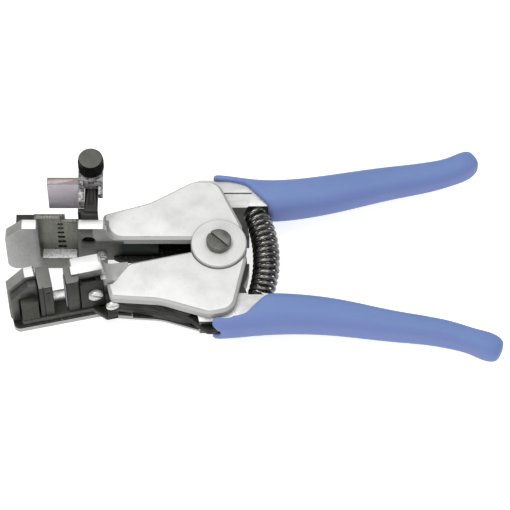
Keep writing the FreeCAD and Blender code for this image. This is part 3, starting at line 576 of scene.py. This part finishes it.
def dress_cad_nodes(materials):
    """Every CAD node gets its slot's material; hard parts get small rounded edges."""
    for row in frame["record"]["subparts"]:
        node = NODES[row["node"]]
        slot = row["material_slot"]
        node.data.materials.clear()
        node.data.materials.append(materials[FINISHES.get(row["node"], slot)])
        for polygon in node.data.polygons:
            polygon.use_smooth = True
        if slot == "handle_vinyl":
            soften_sleeve(node)
        else:
            node.data.set_sharp_from_angle(angle=SMOOTH_ANGLE)
            round_edges(node, EDGE.get(slot, FINE_EDGE))


def round_edges(node, width):
    weld = node.modifiers.new("weld", "WELD")
    weld.merge_threshold = WELD_REACH
    bevel = node.modifiers.new("edges", "BEVEL")
    bevel.width = width
    bevel.segments = 2
    bevel.limit_method = "ANGLE"
    bevel.angle_limit = BEVEL_ANGLE


def soften_sleeve(node):
    """The dipped sleeve has no crisp edges: remeshed and smoothed."""
    remesh = node.modifiers.new("skin", "REMESH")
    remesh.mode = "VOXEL"
    remesh.voxel_size = SKIN_VOXEL
    remesh.use_smooth_shade = True
    smooth = node.modifiers.new("soft", "SMOOTH")
    smooth.factor = SKIN_SOFTNESS
    smooth.iterations = SKIN_PASSES


# ---- return spring -------------------------------------------------------------------------
WIRE_RADIUS = 0.92 * MM
WIRE_SIDES = 10
STEPS_PER_TURN = 28
SPRING_COIL = 4.2 * MM         # coil radius to the wire's middle at both ends
SPRING_SWELL = 0.3 * MM        # added half-way along
SPRING_TURNS = 15
SPRING_MID_Z = 12.6 * MM
SPRING_UPPER = Vector((14.3 * MM, 19.6 * MM, SPRING_MID_Z))
SPRING_BOW = Vector((18.7 * MM, -0.6 * MM, SPRING_MID_Z))
SPRING_LOWER = Vector((15.8 * MM, -19.6 * MM, SPRING_MID_Z))
CLOSED_SHARE = 0.035           # share of the turns that lie closed at each end
CLOSED_LENGTH = 2.1 * WIRE_RADIUS   # and the length that they take there
# each run of coils, and the two bodies whose hinge it lies over
SPRING_RUNS = (("spring_upper_coils", "upper_handle", "blade_frame"),
               ("spring_middle_coils", "blade_frame", "grip_frame"),
               ("spring_lower_coils", "grip_frame", "lower_handle"))


def circle_through(a, b, c):
    """Centre and radius of the circle in a horizontal plane through three points."""
    d = 2 * (a.x * (b.y - c.y) + b.x * (c.y - a.y) + c.x * (a.y - b.y))
    sq = [p.x * p.x + p.y * p.y for p in (a, b, c)]
    x = (sq[0] * (b.y - c.y) + sq[1] * (c.y - a.y) + sq[2] * (a.y - b.y)) / d
    y = (sq[0] * (c.x - b.x) + sq[1] * (a.x - c.x) + sq[2] * (b.x - a.x)) / d
    centre = Vector((x, y, a.z))
    return centre, (a - centre).length


def outward(angle):
    return Vector((math.cos(angle), math.sin(angle), 0))


def spring_point(share, centre, radius, first, last):
    """A point on the coil's wire, 0 at the upper lever and 1 at the lower one."""
    eased = min(max((share - CLOSED_SHARE) / (1 - 2 * CLOSED_SHARE), 0.0), 1.0)
    in_closed = min(share, CLOSED_SHARE) + max(share - 1 + CLOSED_SHARE, 0)
    closed = CLOSED_LENGTH / (SPRING_UPPER - SPRING_LOWER).length
    along = eased * (1 - 2 * closed) + closed * in_closed / CLOSED_SHARE
    out = outward(first + (last - first) * along)
    turn = 2 * math.pi * SPRING_TURNS * share
    coil = SPRING_COIL + SPRING_SWELL * math.sin(math.pi * along)
    return centre + out * radius + (out * math.cos(turn) + Vector((0, 0, 1)) * math.sin(turn)) * coil


def tube(name, points, radius, sides):
    """Round wire through points, closed at both ends."""
    mesh = bpy.data.meshes.new(name)
    verts, faces = [], []
    side_way = Vector((0, 0, 1))
    for i, p in enumerate(points):
        ahead = points[min(i + 1, len(points) - 1)] - points[max(i - 1, 0)]
        ahead.normalize()
        side_way = (side_way - ahead * side_way.dot(ahead)).normalized()
        other = ahead.cross(side_way)
        for k in range(sides):
            a = 2 * math.pi * k / sides
            verts.append(p + side_way * (math.cos(a) * radius) + other * (math.sin(a) * radius))
    for i in range(len(points) - 1):
        for k in range(sides):
            j = (k + 1) % sides
            faces.append((i * sides + k, i * sides + j, (i + 1) * sides + j, (i + 1) * sides + k))
    faces.append(tuple(reversed(range(sides))))
    end = (len(points) - 1) * sides
    faces.append(tuple(range(end, end + sides)))
    mesh.from_pydata(verts, [], faces)
    for polygon in mesh.polygons:
        polygon.use_smooth = len(polygon.vertices) == 4
    return add_object(name, mesh)


def make_spring(materials):
    """Runs of coils along the spring's arc, one for each of the hinges between the two levers."""
    centre, radius = circle_through(SPRING_UPPER, SPRING_BOW, SPRING_LOWER)
    first = math.atan2(SPRING_UPPER.y - centre.y, SPRING_UPPER.x - centre.x)
    last = math.atan2(SPRING_LOWER.y - centre.y, SPRING_LOWER.x - centre.x)
    total = SPRING_TURNS * STEPS_PER_TURN
    cuts = [round(total * k / len(SPRING_RUNS)) for k in range(len(SPRING_RUNS) + 1)]
    for (name, body_a, body_b), begin, end in zip(SPRING_RUNS, cuts, cuts[1:]):
        points = [spring_point(i / total, centre, radius, first, last) for i in range(begin, end + 1)]
        run = tube(name, points, WIRE_RADIUS, WIRE_SIDES)
        run.data.materials.append(materials["spring_steel"])
        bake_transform(run)
        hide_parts("spring")


# ---- thumbscrew ----------------------------------------------------------------------------
KNURLS = 36
KNURL_PROFILE = (1, 0.5, 0, 0.5)   # share of the knurl's depth round one knurl
KNURL_DEPTH = 0.32 * MM
SHANK_RADIUS = 1.5 * MM
SHANK_TIP = 1.2 * MM
CAP_HEIGHT = 7.15 * MM
KNOB_SMOOTH_ANGLE = math.radians(28)


def knob_rings(low, high, rim):
    """(height, radius, knurl depth) of each ring, from the shank's end up to the cap's middle."""
    head = high - CAP_HEIGHT
    return [(low, SHANK_TIP, 0), (low + 0.4 * MM, SHANK_RADIUS, 0), (head, SHANK_RADIUS, 0),
            (head, rim - 0.9 * MM, 0), (head + 0.1 * MM, rim - 0.4 * MM, 0),
            (head + 0.5 * MM, rim, KNURL_DEPTH), (high - 2.0 * MM, rim, KNURL_DEPTH),
            (high - 1.6 * MM, rim - 0.25 * MM, 0.05 * MM), (high - 0.55 * MM, rim - 0.3 * MM, 0),
            (high - 0.12 * MM, rim - 0.55 * MM, 0), (high, rim - 0.95 * MM, 0)]


def make_knob(materials):
    """Thumbscrew with a knurled rim and a smooth bevelled cap, over the CAD screw's box."""
    low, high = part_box("stop_knob")
    middle = Vector(((low.x + high.x) / 2, (low.y + high.y) / 2, 0))
    bm = bmesh.new()
    sides = KNURLS * len(KNURL_PROFILE)
    loops = []
    for height, radius, depth in knob_rings(low.z, high.z, (high.x - low.x) / 2):
        loop = []
        for k in range(sides):
            r = radius - depth * KNURL_PROFILE[k % len(KNURL_PROFILE)]
            loop.append(bm.verts.new(middle + outward(2 * math.pi * k / sides) * r + Vector((0, 0, height))))
        loops.append(loop)
    for below, above in zip(loops, loops[1:]):
        for k in range(sides):
            j = (k + 1) % sides
            bm.faces.new((below[k], below[j], above[j], above[k]))
    bm.faces.new(list(reversed(loops[0])))
    bm.faces.new(loops[-1])
    for face in bm.faces:
        face.smooth = True
    mesh = bpy.data.meshes.new("knurled_thumbscrew")
    bm.to_mesh(mesh)
    bm.free()
    mesh.set_sharp_from_angle(angle=KNOB_SMOOTH_ANGLE)
    knob = add_object("knurled_thumbscrew", mesh)
    mesh.materials.append(materials["knob_black"])
    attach(knob, "stop_thumbscrew")
    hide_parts("stop_knob")


make_camera()
make_studio()
library = make_materials()
dress_cad_nodes(library)
make_spring(library)
make_knob(library)
